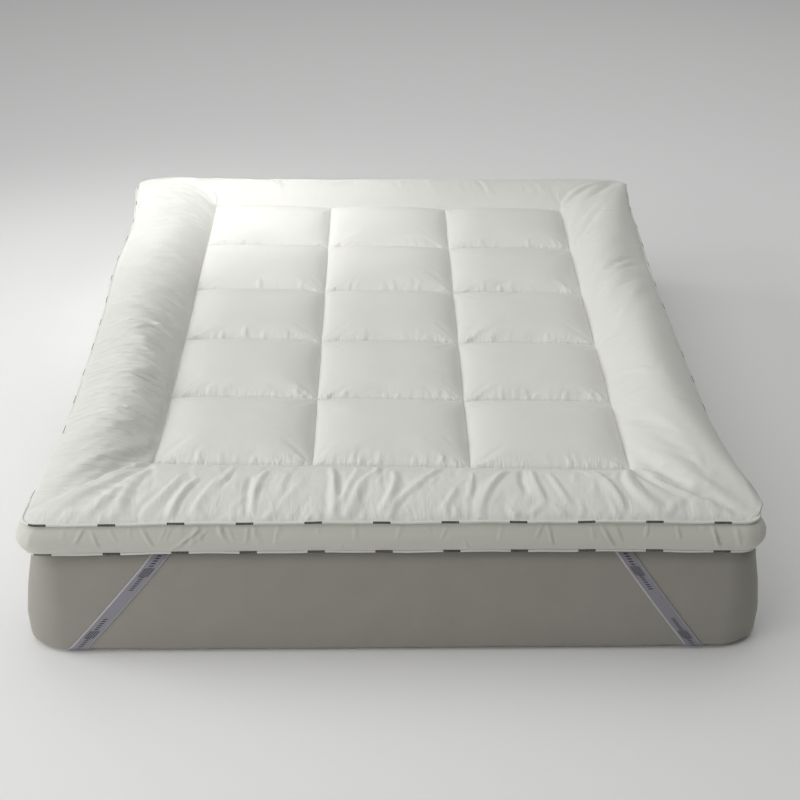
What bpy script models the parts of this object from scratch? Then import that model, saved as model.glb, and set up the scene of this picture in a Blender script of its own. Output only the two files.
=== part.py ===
"""A quilted mattress topper, held on a plain mattress by elastic straps at its four corners.

Metres, +Z up. The origin is on the floor under the middle of the mattress, -Y is the foot end and +X the
right-hand side seen from the foot. Every piece is one closed solid in an object of its own:

  mattress          what the topper fits over, with a round shoulder, a soft belly and a round foot
  topper            one filled solid: a box-stitched middle, a puffed border all round and a flat back
  gusset            the band of cloth sewn round the topper's side
  piping_top        the round cord in the seam between top panel and gusset
  piping_bottom     the round cord in the seam between gusset and back panel
  strap_*           four elastic bands, each from the foot or head edge, under the mattress, to the side edge
"""

import math
from collections import namedtuple

import bmesh
import bpy

# ---- mattress ------------------------------------------------------------------------------------------
MATTRESS_HALF_WIDTH = 0.766  # to the shoulder, where the long sides are narrowest
MATTRESS_HALF_LENGTH = 0.998
MATTRESS_HEIGHT = 0.25
MATTRESS_CORNER = 0.07  # radius of the upright corners
SHOULDER_RADIUS = 0.04
FOOT_RADIUS = 0.02
BELLY = 0.018  # how far the foot of the long sides swells beyond the shoulder
CORNER_LIFT = 0.003  # the soft corners stand clear of the floor, and the straps pass under them
LIFT_REACH = 0.18  # the corners are lifted this far along each side
LIFT_END = 0.24  # and the floor is met from here on
CORNER_STEPS = 6

# ---- topper --------------------------------------------------------------------------------------------
TOPPER_HALF_WIDTH = 0.7305  # to the middle of the piping, where the side is drawn in
TOPPER_HALF_LENGTH = 0.995
TOPPER_SHIFT = -0.006  # it lies this far off the mattress's middle
TOPPER_CORNER = 0.035
EAR_X = 0.029  # the corners stand out this far past the drawn-in sides
EAR_Y = 0.007
EAR_REACH = 0.22
GUSSET_HEIGHT = 0.071  # from piping to piping
GUSSET_THICKNESS = 0.0015
GUSSET_BULGE = 0.009
GUSSET_INSET = -0.0029  # the band's inner face at its edges, from the piping's middle
GUSSET_EDGE = 0.0009  # its edges stop this far from the pipings
PIPING_RADIUS = 0.003
BOX_COLUMNS = 3
BOX_ROWS = 5
BOX_WIDTH = 0.3433
BOX_LENGTH = 0.306
BOX_CROWN = 0.036  # height of a stitched box above its seams
BORDER_CROWN = 0.043
BOX_FULLNESS = 0.55  # exponents of the crowns: a smaller one gives steeper flanks
BORDER_FULLNESS = 0.5
SEAM_DEPTH = 0.005  # the stitched seams lie this far under the top piping
STITCH_SHIFT = 0.0083  # the stitched middle's place across the topper
ROW_SKEW = -0.034  # the boxes are sewn this far out of square: rows in y per x, columns in x per y
COLUMN_SKEW = 0.0105

# ---- straps --------------------------------------------------------------------------------------------
STRAP_WIDTH = 0.031
STRAP_THICKNESS = 0.0014
STRAP_TOP_ANGLE = 20  # degrees round the shoulder, where the strap's end is sewn under the topper

# foot: from the mattress's corner to the strap's middle, where it goes under the mattress.
# slant: its sideways run for each unit down the mattress's side.
Strap = namedtuple("Strap", "name side end foot slant")
STRAPS = (
    Strap("strap_foot_left", -1, -1, 0.074, 0.80),
    Strap("strap_foot_right", 1, -1, 0.110, 0.70),
    Strap("strap_head_left", -1, 1, 0.085, 0.78),
    Strap("strap_head_right", 1, 1, 0.095, 0.74),
)

GAP = 0.0003  # between pieces that touch
CLOTH_GAP = 0.0005  # between the filled topper and the gusset drawn over it
SEAM_GAP = 0.0004  # between a piping and the cloth sewn to it

# ---- heights -------------------------------------------------------------------------------------------
TOPPER_BOTTOM = MATTRESS_HEIGHT + GAP
PIPING_BOTTOM_Z = TOPPER_BOTTOM + PIPING_RADIUS + 0.0007
PIPING_TOP_Z = PIPING_BOTTOM_Z + GUSSET_HEIGHT
SEAM_Z = PIPING_TOP_Z - SEAM_DEPTH
INNER_HALF_WIDTH = BOX_COLUMNS * BOX_WIDTH / 2
INNER_HALF_LENGTH = BOX_ROWS * BOX_LENGTH / 2

# Grid lines of the topper's top panel. Outer lines are counted inwards from the piping, box lines from a seam.
OUTER_LINES = (0.0, 0.012, 0.024, 0.036, 0.065, 0.100, 0.140, 0.180)
COLUMN_LINES = (0.015, 0.045, 0.085, 0.130)
ROW_LINES = (0.015, 0.050, 0.100)

# Where the long sides stand out again between the corners.
Swell = namedtuple("Swell", "side at reach out")
SWELLS = (Swell(-1, 0.32, 0.22, 0.013), Swell(1, 0.60, 0.28, 0.014))

# The border's main folds. at: place along that edge, from its middle, where the fold meets the piping.
# lean: how far it runs along the edge for each unit inwards. reach: its length inwards.
Fold = namedtuple("Fold", "edge at lean reach width height")
FOLDS = (
    Fold("foot", -0.690, 0.85, 0.23, 0.030, 0.010),
    Fold("foot", -0.535, 0.35, 0.17, 0.024, -0.006),
    Fold("foot", -0.457, 0.45, 0.15, 0.022, 0.008),
    Fold("foot", -0.390, 0.25, 0.17, 0.024, 0.005),
    Fold("foot", -0.295, 0.02, 0.20, 0.022, -0.006),
    Fold("foot", -0.124, 0.10, 0.21, 0.022, 0.007),
    Fold("foot", -0.017, 0.20, 0.21, 0.026, 0.006),
    Fold("foot", 0.132, -0.20, 0.14, 0.024, -0.005),
    Fold("foot", 0.248, -0.05, 0.21, 0.024, 0.008),
    Fold("foot", 0.353, -0.35, 0.15, 0.022, -0.006),
    Fold("foot", 0.460, -0.60, 0.21, 0.024, 0.008),
    Fold("foot", 0.560, -0.25, 0.19, 0.024, 0.008),
    Fold("foot", 0.690, -0.80, 0.23, 0.030, 0.009),
    Fold("left", -0.600, -0.20, 0.22, 0.026, 0.006),
    Fold("left", -0.430, -0.15, 0.21, 0.026, 0.005),
    Fold("left", -0.210, 0.10, 0.20, 0.026, -0.004),
    Fold("left", 0.100, 0.05, 0.20, 0.028, 0.004),
    Fold("left", 0.420, 0.10, 0.18, 0.028, -0.004),
    Fold("right", -0.620, 0.15, 0.22, 0.028, 0.006),
    Fold("right", -0.330, 0.10, 0.20, 0.028, 0.004),
    Fold("right", 0.060, 0.05, 0.18, 0.028, -0.004),
    Fold("right", 0.480, -0.10, 0.18, 0.028, 0.004),
    Fold("head", -0.520, 0.20, 0.18, 0.026, 0.005),
    Fold("head", -0.240, 0.05, 0.18, 0.026, -0.005),
    Fold("head", 0.060, -0.05, 0.18, 0.026, 0.005),
    Fold("head", 0.360, -0.20, 0.18, 0.026, -0.005),
)

# Colour, roughness of each cloth.
Cloth = namedtuple("Cloth", "name colour roughness")
TOPPER_CLOTH = Cloth("white_cotton", (0.84, 0.84, 0.81), 0.75)
PIPING_CLOTH = Cloth("white_piping", (0.80, 0.80, 0.76), 0.6)
STRAP_CLOTH = Cloth("grey_elastic", (0.40, 0.39, 0.44), 0.7)
MATTRESS_CLOTH = Cloth("grey_beige_knit", (0.42, 0.41, 0.37), 0.85)


# ---- outlines ------------------------------------------------------------------------------------------
def rounded(s, t, half_width, half_length, radius):
    """The point of a plain rectangle moved to its place in one with round corners."""
    p = (abs(s) - (half_width - radius)) / radius
    q = (abs(t) - (half_length - radius)) / radius
    if p <= 0 or q <= 0:
        return s, t
    x = half_width - radius + radius * p * math.sqrt(1 - q * q / 2)
    y = half_length - radius + radius * q * math.sqrt(1 - p * p / 2)
    return math.copysign(x, s), math.copysign(y, t)


def topper_point(s, t):
    """Where a point of the top panel's plain rectangle lies: round corners, standing ears, skewed boxes."""
    x, y = rounded(s, t, TOPPER_HALF_WIDTH, TOPPER_HALF_LENGTH, TOPPER_CORNER)
    from_side = (TOPPER_HALF_WIDTH - abs(x)) / EAR_REACH
    from_end = (TOPPER_HALF_LENGTH - abs(y)) / EAR_REACH
    ear = math.exp(-from_side * from_side - from_end * from_end)
    swell = 0.0
    for one in SWELLS:
        if s * one.side > 0:
            swell += one.out * math.exp(-(((t - one.at) / one.reach) ** 2)) * (s / TOPPER_HALF_WIDTH) ** 4
    border = TOPPER_HALF_WIDTH - INNER_HALF_WIDTH
    stitched = min(1.0, (TOPPER_HALF_WIDTH - abs(s)) / border, (TOPPER_HALF_LENGTH - abs(t)) / border)
    skew_x = STITCH_SHIFT + COLUMN_SKEW * max(-INNER_HALF_LENGTH, min(INNER_HALF_LENGTH, t))
    skew_y = ROW_SKEW * max(-INNER_HALF_WIDTH, min(INNER_HALF_WIDTH, s))
    x += TOPPER_SHIFT + math.copysign(EAR_X * ear + swell, s) + skew_x * stitched
    y += math.copysign(EAR_Y * ear, t) + skew_y * stitched
    return x, y


def stepped(s, t, step):
    """The point on the plain rectangle's edge a small step further round it, counterclockwise."""
    on_side = abs(abs(s) - TOPPER_HALF_WIDTH) < 1e-9
    on_end = abs(abs(t) - TOPPER_HALF_LENGTH) < 1e-9
    if on_side and on_end:  # a corner: which edge comes next depends on the corner and the direction
        on_side = (s * t > 0) != (step > 0)
    if on_side:
        return s, t + math.copysign(step, s * step)
    return s - math.copysign(step, t * step), t


def outline_frame(s, t):
    """A point on the topper's outline and its outward normal."""
    x, y = topper_point(s, t)
    before = topper_point(*stepped(s, t, -1e-4))
    after = topper_point(*stepped(s, t, 1e-4))
    dx, dy = after[0] - before[0], after[1] - before[1]
    length = math.hypot(dx, dy)
    return (x, y), (dy / length, -dx / length)


def topper_ring(outset, z, edge_points):
    """Points round the topper, that far outside the piping's line."""
    ring = []
    for s, t in edge_points:
        (x, y), (nx, ny) = outline_frame(s, t)
        ring.append((x + outset * nx, y + outset * ny, z))
    return ring


def lines(half, inner_half, box, count, box_lines):
    """Grid lines across the topper: outer lines, seams, and lines inside each box."""
    found = {half - line for line in OUTER_LINES} | {line - half for line in OUTER_LINES}
    for number in range(count):
        seam = -inner_half + number * box
        found |= {seam, seam + box / 2, seam + box}
        found |= {seam + line for line in box_lines} | {seam + box - line for line in box_lines}
    return sorted({round(line, 6) for line in found})


def edge_walk(columns, rows):
    """The points on a grid's edge, counterclockwise from the foot's left corner."""
    foot = [(s, rows[0]) for s in columns]
    right = [(columns[-1], t) for t in rows[1:]]
    head = [(s, rows[-1]) for s in reversed(columns[:-1])]
    left = [(columns[0], t) for t in reversed(rows[1:-1])]
    return foot + right + head + left


COLUMNS = lines(TOPPER_HALF_WIDTH, INNER_HALF_WIDTH, BOX_WIDTH, BOX_COLUMNS, COLUMN_LINES)
ROWS = lines(TOPPER_HALF_LENGTH, INNER_HALF_LENGTH, BOX_LENGTH, BOX_ROWS, ROW_LINES)
EDGE_POINTS = edge_walk(COLUMNS, ROWS)


# ---- heights of the topper's top -----------------------------------------------------------------------
def rise(distance, reach, fullness):
    """From 0 at a seam to 1 at reach, steep at first."""
    share = min(max(distance, 0.0) / reach, 1.0)
    return (1 - (1 - share) ** 2) ** fullness


def border_height(s, t):
    half_border = (TOPPER_HALF_WIDTH - INNER_HALF_WIDTH) / 2
    past_x = max(abs(s) - INNER_HALF_WIDTH, 0.0)
    past_y = max(abs(t) - INNER_HALF_LENGTH, 0.0)
    outer = rise(TOPPER_HALF_WIDTH - abs(s), half_border, BORDER_FULLNESS) * rise(
        TOPPER_HALF_LENGTH - abs(t), half_border, BORDER_FULLNESS
    )
    return BORDER_CROWN * outer * rise(math.hypot(past_x, past_y), half_border, BORDER_FULLNESS)


def from_seam(place, half, box):
    """Distance from a place inside the stitched middle to the nearest seam across that direction."""
    inside = (place + half) % box
    return min(inside, box - inside)


def box_height(s, t):
    across = rise(from_seam(s, INNER_HALF_WIDTH, BOX_WIDTH), BOX_WIDTH / 2, BOX_FULLNESS)
    along = rise(from_seam(t, INNER_HALF_LENGTH, BOX_LENGTH), BOX_LENGTH / 2, BOX_FULLNESS)
    return BOX_CROWN * across * along


def fold_height(s, t):
    """What the main folds add to the border, fading at the piping, at their far ends and at the seam."""
    total = 0.0
    inward = {
        "foot": (s, TOPPER_HALF_LENGTH + t),
        "head": (s, TOPPER_HALF_LENGTH - t),
        "left": (t, TOPPER_HALF_WIDTH + s),
        "right": (t, TOPPER_HALF_WIDTH - s),
    }
    for fold in FOLDS:
        along, depth = inward[fold.edge]
        if depth >= fold.reach:
            continue
        off = (along - fold.at - fold.lean * depth) / fold.width
        fade = math.sin(math.pi * min(0.5, depth / 0.05)) * (1 - (depth / fold.reach) ** 2)
        total += fold.height * math.exp(-off * off) * fade
    return total


def top_height(s, t):
    if abs(s) <= INNER_HALF_WIDTH + 1e-6 and abs(t) <= INNER_HALF_LENGTH + 1e-6:
        return SEAM_Z + box_height(s, t)
    past_x = max(abs(s) - INNER_HALF_WIDTH, 0.0)
    past_y = max(abs(t) - INNER_HALF_LENGTH, 0.0)
    near_seam = min(1.0, math.hypot(past_x, past_y) / 0.04)
    return SEAM_Z + border_height(s, t) + fold_height(s, t) * near_seam


# ---- making objects ------------------------------------------------------------------------------------
def clear_scene():
    for thing in list(bpy.data.objects):
        bpy.data.objects.remove(thing)


def material(cloth):
    made = bpy.data.materials.get(cloth.name) or bpy.data.materials.new(cloth.name)
    made.use_nodes = True
    shader = made.node_tree.nodes["Principled BSDF"]
    shader.inputs["Base Color"].default_value = (*cloth.colour, 1.0)
    shader.inputs["Roughness"].default_value = cloth.roughness
    shader.inputs["Metallic"].default_value = 0.0
    return made


def finish(name, data, cloth):
    thing = bpy.data.objects.new(name, data)
    data.materials.append(material(cloth))
    bpy.context.scene.collection.objects.link(thing)
    return thing


def finish_mesh(name, bm, cloth):
    bmesh.ops.recalc_face_normals(bm, faces=bm.faces)
    data = bpy.data.meshes.new(name)
    bm.to_mesh(data)
    bm.free()
    data.shade_smooth()
    data.set_sharp_from_angle(angle=math.radians(40))
    return finish(name, data, cloth)


def loop_edges(bm, points):
    """A closed loop of new edges through the points."""
    verts = [bm.verts.new(point) for point in points]
    return [bm.edges.new((a, b)) for a, b in zip(verts, verts[1:] + verts[:1])]


def bridge_rings(bm, rings):
    """Skins each ring to the next, and returns the edges of every ring."""
    loops = [loop_edges(bm, ring) for ring in rings]
    for lower, upper in zip(loops, loops[1:]):
        bmesh.ops.bridge_loops(bm, edges=lower + upper)
    return loops


# ---- topper --------------------------------------------------------------------------------------------
def gusset_section():
    """Outset and height of the gusset's inner face, from its lower edge to its upper one."""
    low = PIPING_BOTTOM_Z + PIPING_RADIUS + GUSSET_EDGE
    high = PIPING_TOP_Z - PIPING_RADIUS - GUSSET_EDGE
    return [
        (GUSSET_INSET + GUSSET_BULGE * math.sin(math.pi * share) ** 0.8, low + (high - low) * share)
        for share in (0.0, 0.25, 0.75, 1.0)
    ]


def make_topper():
    """The top panel is a grid raised to its crowns; its edge is carried down the side and closed flat."""
    bm = bmesh.new()
    across, along = len(COLUMNS) - 1, len(ROWS) - 1
    bmesh.ops.create_grid(bm, x_segments=across, y_segments=along, size=1.0)
    seam_outset = -PIPING_RADIUS - SEAM_GAP
    for vert in bm.verts:
        s = COLUMNS[round((vert.co.x + 1) / 2 * across)]
        t = ROWS[round((vert.co.y + 1) / 2 * along)]
        if vert.is_boundary:
            vert.co = topper_ring(seam_outset, PIPING_TOP_Z, [(s, t)])[0]
        else:
            vert.co = (*topper_point(s, t), top_height(s, t))
    side = [(outset - CLOTH_GAP, z) for outset, z in gusset_section()]
    side = [(seam_outset, TOPPER_BOTTOM)] + side
    rings = [topper_ring(outset, z, EDGE_POINTS) for outset, z in side]
    rim = [edge for edge in bm.edges if edge.is_boundary]
    loops = bridge_rings(bm, rings)
    bmesh.ops.bridge_loops(bm, edges=loops[-1] + rim)
    bmesh.ops.contextual_create(bm, geom=loops[0])
    return finish_mesh("topper", bm, TOPPER_CLOTH)


def make_gusset():
    """A band of single cloth, given its thickness outwards."""
    bm = bmesh.new()
    bridge_rings(bm, [topper_ring(outset, z, EDGE_POINTS) for outset, z in gusset_section()])
    thing = finish_mesh("gusset", bm, TOPPER_CLOTH)
    thicken = thing.modifiers.new("thickness", "SOLIDIFY")
    thicken.thickness = GUSSET_THICKNESS
    thicken.offset = 1.0
    thicken.use_even_offset = True
    return thing


def make_piping(name, z):
    data = bpy.data.curves.new(name, "CURVE")
    data.dimensions = "3D"
    data.bevel_depth = PIPING_RADIUS
    data.bevel_resolution = 1
    spline = data.splines.new("POLY")
    points = topper_ring(0.0, z, EDGE_POINTS)
    spline.points.add(len(points) - 1)
    for place, (x, y, height) in zip(spline.points, points):
        place.co = (x, y, height, 1.0)
    spline.use_cyclic_u = True
    return finish(name, data, PIPING_CLOTH)


# ---- mattress ------------------------------------------------------------------------------------------
# A level of the mattress's side: its outset from the shoulder's line, the long sides' further swell, its
# height, and which way it faces, in degrees above the horizontal.
Level = namedtuple("Level", "outset swell z facing")


def mattress_levels():
    """The side's levels, from the underside up to the flat top."""
    levels = []
    for facing in (-90, -60, -30, 0):
        turn = math.radians(facing)
        z = FOOT_RADIUS + FOOT_RADIUS * math.sin(turn)
        levels.append(Level(FOOT_RADIUS * (math.cos(turn) - 1), BELLY, z, facing))
    levels.append(Level(0.003, BELLY, 0.07, 2))
    levels.append(Level(0.004, 0.5 * BELLY, 0.14, 5))
    for facing in (0, 25, 47.5, 90 - STRAP_TOP_ANGLE, 90):
        turn = math.radians(facing)
        z = MATTRESS_HEIGHT - SHOULDER_RADIUS + SHOULDER_RADIUS * math.sin(turn)
        levels.append(Level(SHOULDER_RADIUS * (math.cos(turn) - 1), 0.0, z, facing))
    return levels


def lifted(z, lift):
    """The height of a point of the round foot where the mattress's corner is lifted off the floor."""
    return z if z >= FOOT_RADIUS else lift + z * (FOOT_RADIUS - lift) / FOOT_RADIUS


# A point on the mattress's outline: its place, its outward normal and its lift.
Post = namedtuple("Post", "x y nx ny lift")


def mattress_posts():
    """Points round the mattress's outline, each corner's in turn: two on one side, the arc, two on the next."""
    posts = []
    for sign_x, sign_y, first_turn in ((1, -1, -90), (1, 1, 0), (-1, 1, 90), (-1, -1, 180)):
        start = math.radians(first_turn)
        corner_x, corner_y = sign_x * MATTRESS_HALF_WIDTH, sign_y * MATTRESS_HALF_LENGTH
        nx, ny = math.cos(start), math.sin(start)  # the side that the corner follows faces this way
        for distance, lift in ((LIFT_END, 0.0), (LIFT_REACH, CORNER_LIFT)):
            posts.append(Post(corner_x + ny * distance, corner_y - nx * distance, nx, ny, lift))
        centre_x = corner_x - sign_x * MATTRESS_CORNER
        centre_y = corner_y - sign_y * MATTRESS_CORNER
        for step in range(CORNER_STEPS + 1):
            turn = start + math.pi / 2 * step / CORNER_STEPS
            nx, ny = math.cos(turn), math.sin(turn)
            x, y = centre_x + MATTRESS_CORNER * nx, centre_y + MATTRESS_CORNER * ny
            posts.append(Post(x, y, nx, ny, CORNER_LIFT))
        for distance, lift in ((LIFT_REACH, CORNER_LIFT), (LIFT_END, 0.0)):
            posts.append(Post(corner_x - ny * distance, corner_y + nx * distance, nx, ny, lift))
    return posts


def make_mattress():
    posts = mattress_posts()
    rings = []
    for level in mattress_levels():
        outsets = [level.outset + level.swell * post.nx**4 for post in posts]
        ring = [
            (post.x + outset * post.nx, post.y + outset * post.ny, lifted(level.z, post.lift))
            for post, outset in zip(posts, outsets)
        ]
        rings.append(ring)
    bm = bmesh.new()
    loops = bridge_rings(bm, rings)
    bmesh.ops.contextual_create(bm, geom=loops[-1])
    # The underside: a flat foot, and at each corner a lifted flat with a ramp between.
    foot = [edge.verts[0] for edge in loops[0]]
    per_corner = len(posts) // 4
    for first in range(0, len(foot), per_corner):
        corner = foot[first : first + per_corner]
        bm.faces.new(corner[1:-1])
        bm.faces.new((corner[0], corner[1], corner[-2], corner[-1]))
    floor = [foot[i] for first in range(0, len(foot), per_corner) for i in (first, first + per_corner - 1)]
    bm.faces.new(floor)
    return finish_mesh("mattress", bm, MATTRESS_CLOTH)


# ---- straps --------------------------------------------------------------------------------------------
def strap_stations(strap, swelling):
    """The strap's two edges down one side of the mattress, top to bottom, as distances from the corner."""
    half_slanted = STRAP_WIDTH / 2 * math.hypot(1.0, strap.slant)
    half_under = STRAP_WIDTH / 2 * math.sqrt(2)
    middle, before, stations = strap.foot, None, []
    for level in mattress_levels():
        if level.facing > 90 - STRAP_TOP_ANGLE:
            break
        outset = level.outset + level.swell * swelling
        if before:
            middle += strap.slant * math.hypot(outset - before[0], level.z - before[1])
        half = half_under + (half_slanted - half_under) * min(1.0, level.z / FOOT_RADIUS)
        stations.append((middle - half, middle + half, outset, level))
        before = (outset, level.z)
    return stations[::-1]


def strap_face(strap, along_end, clearance):
    """The strap's edge points down the end or the side of the mattress, at that clearance from it."""
    found = []
    for near, far, outset, level in strap_stations(strap, 0.0 if along_end else 1.0):
        turn = math.radians(level.facing)
        out = outset + clearance * math.cos(turn)
        z = lifted(level.z, CORNER_LIFT) + clearance * math.sin(turn)
        pair = []
        for distance in (near, far):
            if along_end:
                x, y = MATTRESS_HALF_WIDTH - distance, MATTRESS_HALF_LENGTH + out
            else:
                x, y = MATTRESS_HALF_WIDTH + out, MATTRESS_HALF_LENGTH - distance
            pair.append((strap.side * x, strap.end * y, z))
        found.append(pair)
    return found


def make_strap(strap):
    """One band: down the end of the mattress, under its corner and up its side."""
    surfaces = []
    for clearance in (GAP, GAP + STRAP_THICKNESS):
        down = strap_face(strap, True, clearance)
        up = strap_face(strap, False, clearance)[::-1]
        surfaces.append(down + up)
    bm = bmesh.new()
    loops = bridge_rings(bm, [(a[0], a[1], b[1], b[0]) for a, b in zip(*surfaces)])
    bmesh.ops.contextual_create(bm, geom=loops[0])
    bmesh.ops.contextual_create(bm, geom=loops[-1])
    return finish_mesh(strap.name, bm, STRAP_CLOTH)


def main():
    clear_scene()
    make_mattress()
    make_topper()
    make_gusset()
    make_piping("piping_top", PIPING_TOP_Z)
    make_piping("piping_bottom", PIPING_BOTTOM_Z)
    for strap in STRAPS:
        make_strap(strap)


main()
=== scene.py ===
"""Dresses a quilted mattress topper and the mattress that it lies on.

Metres, +Z up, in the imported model's frame: the origin is on the floor under the middle of the mattress, -Y is
the foot end. The topper's top panel and its gusset are laid out first, with their folds, and a short cloth
simulation then fills them. The plain rectangle is the top panel's flat cut, with s across and t along it.
"""

import math
from collections import namedtuple
from functools import partialmethod

import bmesh
import bpy
import numpy as np
from bpy.props import FloatProperty, FloatVectorProperty, IntProperty, PointerProperty
from mathutils import Matrix, Vector


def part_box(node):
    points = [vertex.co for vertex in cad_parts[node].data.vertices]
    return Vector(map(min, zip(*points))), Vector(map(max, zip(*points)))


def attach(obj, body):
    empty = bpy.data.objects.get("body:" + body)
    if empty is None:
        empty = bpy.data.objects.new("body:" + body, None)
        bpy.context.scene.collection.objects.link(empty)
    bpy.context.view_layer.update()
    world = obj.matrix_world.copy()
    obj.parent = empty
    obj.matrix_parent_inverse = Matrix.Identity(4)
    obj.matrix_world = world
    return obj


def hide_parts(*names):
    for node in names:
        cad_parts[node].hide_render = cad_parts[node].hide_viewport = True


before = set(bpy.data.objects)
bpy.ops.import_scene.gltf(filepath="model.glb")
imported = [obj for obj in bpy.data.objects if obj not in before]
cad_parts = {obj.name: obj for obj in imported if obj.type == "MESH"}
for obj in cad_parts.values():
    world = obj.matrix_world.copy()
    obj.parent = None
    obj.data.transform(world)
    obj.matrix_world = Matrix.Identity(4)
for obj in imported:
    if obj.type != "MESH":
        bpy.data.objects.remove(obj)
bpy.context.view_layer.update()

bl_info = {
    "name": "Mattress Topper",
    "version": (1, 0, 0),
    "blender": (4, 5, 0),
    "location": "View3D > Sidebar > Topper",
    "description": "Builds a quilted mattress topper with its pipings, straps and mattress",
    "category": "Object",
}

# ---- sizes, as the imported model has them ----
HALF_WIDTH = 0.7305  # of the plain rectangle, to the middle of the piping
HALF_LENGTH = 0.995
CORNER = 0.035
TOPPER_SHIFT = -0.006
EAR_X = 0.029  # the corners stand out this far past the drawn-in sides
EAR_Y = 0.007
EAR_REACH = 0.22
BOX_COLUMNS = 3
BOX_ROWS = 5
BOX_WIDTH = 0.3433
BOX_LENGTH = 0.306
INNER_HALF_WIDTH = BOX_COLUMNS * BOX_WIDTH / 2
INNER_HALF_LENGTH = BOX_ROWS * BOX_LENGTH / 2
BORDER_WIDTH = HALF_WIDTH - INNER_HALF_WIDTH
STITCH_SHIFT = 0.0083
ROW_SKEW = -0.034
COLUMN_SKEW = 0.0105
Swell = namedtuple("Swell", "side at reach out")
SWELLS = (Swell(-1, 0.32, 0.22, 0.013), Swell(1, 0.60, 0.28, 0.014))
ABOUT_ROUND = 7.0  # the way round the topper, for the number of points

TOPPER_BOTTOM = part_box("topper")[0][2]
PIPING_RADIUS = 0.003
PIPING_TOP_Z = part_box("piping_top")[1][2] - PIPING_RADIUS
PIPING_BOTTOM_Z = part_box("piping_bottom")[0][2] + PIPING_RADIUS
SEAM_DEPTH = 0.005
SEAM_Z = PIPING_TOP_Z - SEAM_DEPTH
GUSSET_HEIGHT = PIPING_TOP_Z - PIPING_BOTTOM_Z
SEAMS_S = [column * BOX_WIDTH - INNER_HALF_WIDTH for column in range(BOX_COLUMNS + 1)]
SEAMS_T = [row * BOX_LENGTH - INNER_HALF_LENGTH for row in range(BOX_ROWS + 1)]
BORDER_FULLNESS = 0.62  # 0.5 is a full round, 1 a flat arc
LEFT_INNER = 0.45  # added to it towards the left border's stitching
RIGHT_OUTER = 0.16  # and towards the right border's piping
OUTER_REACH = 0.190  # the border has risen this far in from the piping
INNER_REACH = 0.210  # and this far out from the stitched middle
FLANK = 0.018  # from the piping to the middle of the border's steep flank
SIDE_OVERHANG = 0.027
END_OVERHANG = 0.004
OVERHANG_END = 0.11  # the flank is upright from this far before a corner
FOOTWARD_OVERHANG = 0.42  # more of it along the sides towards the foot, as a share
FOOTWARD_START = 0.3
FOOTWARD_REACH = 0.4
SIDE_BLEND = 0.05  # a side border's fullness is met this far out from the stitched middle
BOX_REACH = 0.110  # a box has risen this far in from its seams
MITRE = 0.06  # the finest gathers change their direction over this width at the corners
GATHERS_START = 0.02  # and those of the border are full this far out from the stitched middle
RIM_DROP = 0.010  # the panel's edge goes down this far under the piping, and in behind the gusset
RIM_INSET = 0.008
GUSSET_BULGE = 0.0095
GUSSET_SINK = 0.0015  # its edges lie this far inside the pipings' middles
GUSSET_TUCK = 0.0075  # and under the upper piping this much farther
TUCK_REACH = 0.0055
CORNER_BULGE = 0.010  # of the gusset, besides
CORNER_REACH = 0.12
GUSSET_THICKNESS = 0.0012
PIPING_POINTS = 1100
PIPING_SIDES = 12
PIPING_WAVES = ((0.0007, 23, 1.0), (0.0004, 61, 0.0))  # height, number round the topper, start

MATTRESS_HALF_WIDTH = 0.766
MATTRESS_HALF_LENGTH = 0.998
MATTRESS_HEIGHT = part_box("mattress")[1][2]
MATTRESS_CORNER = 0.07
SHOULDER_RADIUS = 0.04
FOOT_RADIUS = 0.02
BELLY = 0.018
CORNER_LIFT = 0.003
LIFTS = ((0.24, 0.0), (0.18, CORNER_LIFT))  # how far the foot is lifted at distances from a corner

STRAP_WIDTH = 0.031
STRAP_THICKNESS = 0.0014
STRAP_TOP_ANGLE = 20  # degrees round the shoulder
STRAP_CLEARANCE = 0.0004
STRAP_ROWS = 6
Strap = namedtuple("Strap", "name side end foot slant")
STRAPS = (
    Strap("strap_foot_left", -1, -1, 0.074, 0.80),
    Strap("strap_foot_right", 1, -1, 0.110, 0.70),
    Strap("strap_head_left", -1, 1, 0.085, 0.78),
    Strap("strap_head_right", 1, 1, 0.095, 0.74),
)

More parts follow.
